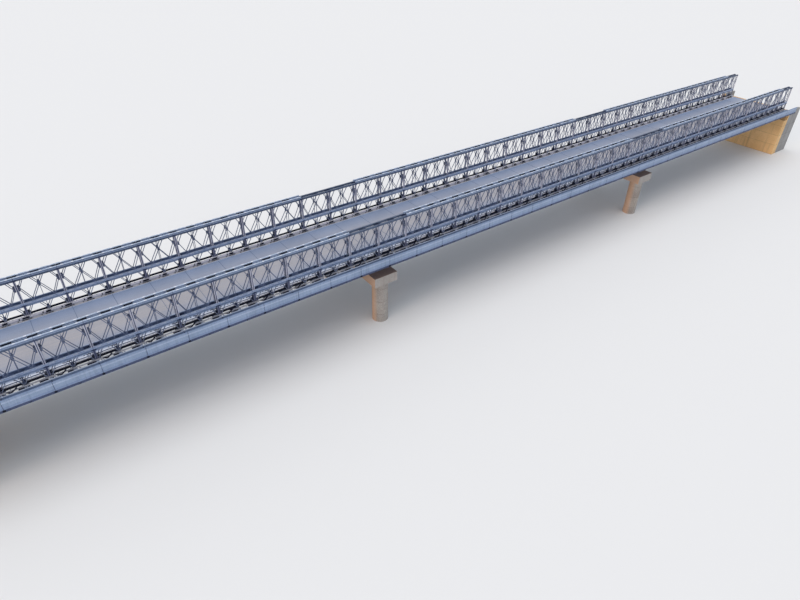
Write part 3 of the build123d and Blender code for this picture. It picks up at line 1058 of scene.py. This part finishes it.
# %% Ribs of the deck units
RIB_PITCH, RIB_DEPTH = 60.0, 14.0
RIB_GAP = 15
TROUGH = [(-12, 0), (-6, -RIB_DEPTH), (6, -RIB_DEPTH), (12, 0)]
rib_count = int(2 * (deck_half - 20) // RIB_PITCH) + 1
ribs = new_stock()
for unit in range(2 * PANELS):
    start, end = (inside_bridge(number * KERB_UNIT, 14) for number in (unit, unit + 1))
    for rib in range(rib_count):
        y = (rib - (rib_count - 1) / 2) * RIB_PITCH
        add_long(ribs, TROUGH, 1, start + RIB_GAP, end - RIB_GAP, deck_low.z, y)
make_pieces("deck_", "deck_steel", ("ribs", ribs, "deck_steel"))

# %% [markdown]
# ## Footway
# The footway hangs on tapered brackets outside the near truss. Each bracket is a plate with a
# flange along its slanting lower edge, and a stiffener where it meets the truss. The parapet is
# a row of frames with a thin sheet in each. Beside the truss, a dark band is painted on the
# floor for the shade there, and small bolts dot it. The edge beam and its hollow are painted
# navy for the shade along the footway's outer edge.

# %% Bracket flanges
TIP_DEPTH = 12.0
bracket_low, bracket_high = box_mm("footway_brackets")
root_y, tip_y = bracket_high.y, bracket_low.y
flanges = new_stock()
for x, at_joint in half_places:
    x = inside_bridge(x, 13)
    add_block(flanges, (x - 8, tip_y, bracket_high.z - 2), (x + 8, root_y, bracket_high.z))
    add_bar(flanges, (x, tip_y, bracket_high.z - TIP_DEPTH + 0.5),
            (x, root_y, bracket_low.z + 1.5), 14, 2, Z)
    add_block(flanges, (x - 10, root_y - 3, bracket_low.z + 2), (x + 10, root_y, bracket_high.z))
make_pieces("bracket_", "footway_steel", ("flanges", flanges, "footway_steel"))

# %% Footway planks, a band of painted shade, and the edge beam and its hollow in painted navy
PLANK_COUNT, DOT_COUNT = 5, 10
PLANK_GAP, PLANK_DEPTH = 0.6, 5
BEAM_WIDTH, BEAM_HEIGHT = 5.0, 19
SHADE_BAND_EDGES = (38, 12)  # its two edges, from the truss side of the floor
BEAM_SECTION = [(0, 0), (BEAM_WIDTH, 0), (BEAM_WIDTH, BEAM_HEIGHT), (0, BEAM_HEIGHT), (0, 17),
                (3.4, 17), (3.4, 2), (0, 2)]
edge_y, edge_z = floor_low.y, floor_low.z
back_y, walk_z = floor_high.y, floor_high.z
planks, shade_band, seams, beam, hollow, dots = new_stocks(6)
plank_width = (back_y - edge_y - BEAM_WIDTH) / PLANK_COUNT
for panel in range(PANELS):
    start, end = cut_short(panel, PANEL, PLANK_GAP)
    for plank in range(PLANK_COUNT):
        y = edge_y + BEAM_WIDTH + plank * plank_width
        add_block(planks, (start, y + PLANK_GAP, walk_z - PLANK_DEPTH),
                  (end, y + plank_width - PLANK_GAP, walk_z))
    # A dark band painted on the floor, for the shade beside the truss.
    add_block(shade_band, (start, back_y - SHADE_BAND_EDGES[0], walk_z - 0.2),
              (end, back_y - SHADE_BAND_EDGES[1], walk_z + 0.7))
    if panel:
        add_block(seams, (start - 2.8, edge_y + BEAM_WIDTH, walk_z - 0.2),
                  (start + 1.6, back_y - SHADE_BAND_EDGES[1], walk_z + 0.8))
    # The edge beam and its hollow are painted navy for the shade along the footway's outer edge.
    add_long(beam, BEAM_SECTION, 1, start, end, edge_z, edge_y)
    add_block(hollow, (start, edge_y + 0.5, edge_z + 2), (end, edge_y + 3.4, edge_z + 17))
    for dot in range(DOT_COUNT):
        x = (panel + (dot + 0.5) / DOT_COUNT) * PANEL
        add_block(dots, (x - 2, back_y - 19, walk_z), (x + 2, back_y - 16, walk_z + 1.2))
make_pieces("", "footway_steel", ("footway_planks", planks, "footway_steel", "footway_floor"),
            ("footway_gutter", shade_band, "gutter_steel"), ("footway_edge_beam", beam, "navy_zinc"),
            ("edge_beam_hollow", hollow, "navy_zinc"), ("footway_bolts", dots, "gutter_steel"))

# %% Parapet rails, sheets, kick plates and posts
CAP, KICK = 6, 18
POST_WIDTH = 3
rail_back, rail_front = rail_high.y, rail_low.y
rails, sheets, kicks, posts, knots = new_stocks(5)
for panel in range(PANELS):
    start, end = cut_short(panel, PANEL, 1)
    for stock, low_z, high_z in ((kicks, rail_high.z - CAP, rail_high.z),
                                 (rails, rail_high.z - 30, rail_high.z - 18)):
        add_block(stock, (start, rail_front, low_z), (end, rail_back, high_z))
    add_block(sheets, (start + 2, rail_front + 1, rail_low.z + KICK),
              (end - 2, rail_back - 1, rail_high.z - CAP))
    add_block(kicks, (start, rail_front + 0.2, rail_low.z),
              (end, rail_back - 0.2, rail_low.z + KICK))
    if panel:
        add_block(seams, (start - 2.2, rail_front + 0.1, rail_low.z + 1),
                  (start + 0.2, rail_back - 0.1, rail_high.z - 1))
    for x in (start, start + (end - start) / 2 - POST_WIDTH / 2, end - POST_WIDTH):
        add_block(posts, (x, rail_front + 0.1, rail_low.z + 1),
                  (x + POST_WIDTH, rail_back, rail_high.z - 6.5))
for x, at_joint in half_places:
    half, tall = (9, BEAM_HEIGHT) if at_joint else (5, 8)
    x = inside_bridge(x, half)
    add_block(knots, (x - half, edge_y, edge_z), (x + half, edge_y + 4, edge_z + tall))
# The parapet's middle rail is painted paler and its cap, posts and kick plates darker, for the
# light and shade across it.
make_pieces("", "footway_steel", ("parapet_rails", rails, "parapet_rail", "footway_parapet"),
            ("parapet_sheets", sheets, "footway_steel"),
            ("parapet_kick_plates", kicks, "kick_plate"), ("parapet_posts", posts, "kick_plate"),
            ("edge_beam_knots", knots, "dark_zinc"), ("footway_seams", seams, "dark_zinc"))

# %% Plates, raking struts and an edge strip between the truss and the footway
PLATE_LOW, PLATE_HIGH = walk_z - 3, walk_z
JOINT_PLATE, HALF_PLATE = (-0.23, -0.05), (-0.15, -0.03)  # both ends, in panel lengths
STRUT_FOOT = 0.21
STRUT_TOPS = ((0.12, 695), (0.34, 705))  # place in panel lengths, and level
truss_side, floor_side = root_y - 1, back_y + 3
struts, strip = new_stocks(2)
for x, at_joint in half_places[1:]:
    left, right = JOINT_PLATE if at_joint else HALF_PLATE
    add_block(struts, (x + left * PANEL, floor_side, PLATE_LOW),
              (x + right * PANEL, truss_side, PLATE_HIGH))
    foot_x = x + STRUT_FOOT * PANEL
    if at_joint and foot_x < LENGTH:
        for share, top in STRUT_TOPS:
            add_bar(struts, (foot_x, floor_side + 2, PLATE_HIGH - 1),
                    (x + share * PANEL, truss_side, top), 11, 4, Z)
add_block(strip, (PANEL / 2 - 0.14 * PANEL, truss_side - 5, PLATE_HIGH - 0.5),
          (LENGTH - 0.06 * PANEL, truss_side - 2, PLATE_HIGH + 11))
make_pieces("footway_", STEEL, ("struts", struts, "dark_zinc"), ("edge_strip", strip, "edge_strip"))

# %% [markdown]
# ## Bearings
# A bridge grows and shrinks with heat, so it rests on pads of rubber and steel in layers,
# between two plates. The frame has a block in each place. It is replaced by the real stack.

# %% Bearing stacks
BLOCK_WIDTH = outer_y - inner_y + CHORD_WIDTH + 12
plates, rubbers = new_stocks(2)
layers = (  # bottom and top as shares of the height, inset, stock
    (0, 0.2, 0, plates), (0.2, 0.37, 4, rubbers), (0.37, 0.43, 2, plates),
    (0.43, 0.6, 4, rubbers), (0.6, 0.66, 2, plates), (0.66, 0.8, 4, rubbers), (0.8, 1, 0, plates),
)
for node, length in (("pier_bearings", 40.0), ("abutment_bearings", 30.0)):
    low, high = box_mm(node)
    tall = high.z - low.z
    for x in (low.x + length / 2, high.x - length / 2):
        for sign in SIDES.values():
            y = sign * between_y
            for bottom, top, inset, stock in layers:
                add_block(stock, (x - length / 2 + inset, y - BLOCK_WIDTH / 2 + inset,
                                  low.z + bottom * tall),
                          (x + length / 2 - inset, y + BLOCK_WIDTH / 2 - inset,
                           low.z + top * tall))
make_pieces("", "bearing_steel",
            ("bearing_plates", plates, "bearing_steel", "pier_bearings", "abutment_bearings"),
            ("bearing_rubber", rubbers, "dark_zinc"))

# %% [markdown]
# ## Softer edges on the concrete
# Cast concrete never has a knife edge: the forms leave a small chamfer. A bevel modifier adds
# one to the frame's own pieces and leaves their size alone.

# %% Chamfers on the concrete
CHAMFER = 2.0
for name, node in nodes.items():
    if name.endswith(("crosshead", "abutment", "wing_wall", "column")):
        chamfer = node.modifiers.new("Chamfer", "BEVEL")
        chamfer.width = CHAMFER * MM
        chamfer.segments = 2
        chamfer.limit_method = "ANGLE"
print("Chamfers on the crossheads, columns, abutments and wing walls")

# %% [markdown]
# ## Finishes for the frame's own pieces
# The pieces that came with the frame still need a finish. The last word of a piece's name says
# what kind of thing it is, and that is enough to choose one. The rest is plain truss steel.

# %% Finishes for the frame's own pieces
finish_of = {
    "diagonals": "bracing_steel", "deck": "deck_steel", "kerb": "kerb_steel",
    "floor": "footway_steel", "parapet": "footway_steel", "brackets": "footway_steel",
    "bearings": "bearing_steel", "column": "column_concrete",
    "crosshead": "crosshead_concrete", "abutment": "sunlit_ochre_concrete", "wall": "wall_concrete",
}
for name, node in nodes.items():
    node.data.materials.clear()
    node.data.materials.append(finishes[finish_of.get(name.split("_")[-1], STEEL)])
print("Every frame piece has its finish")
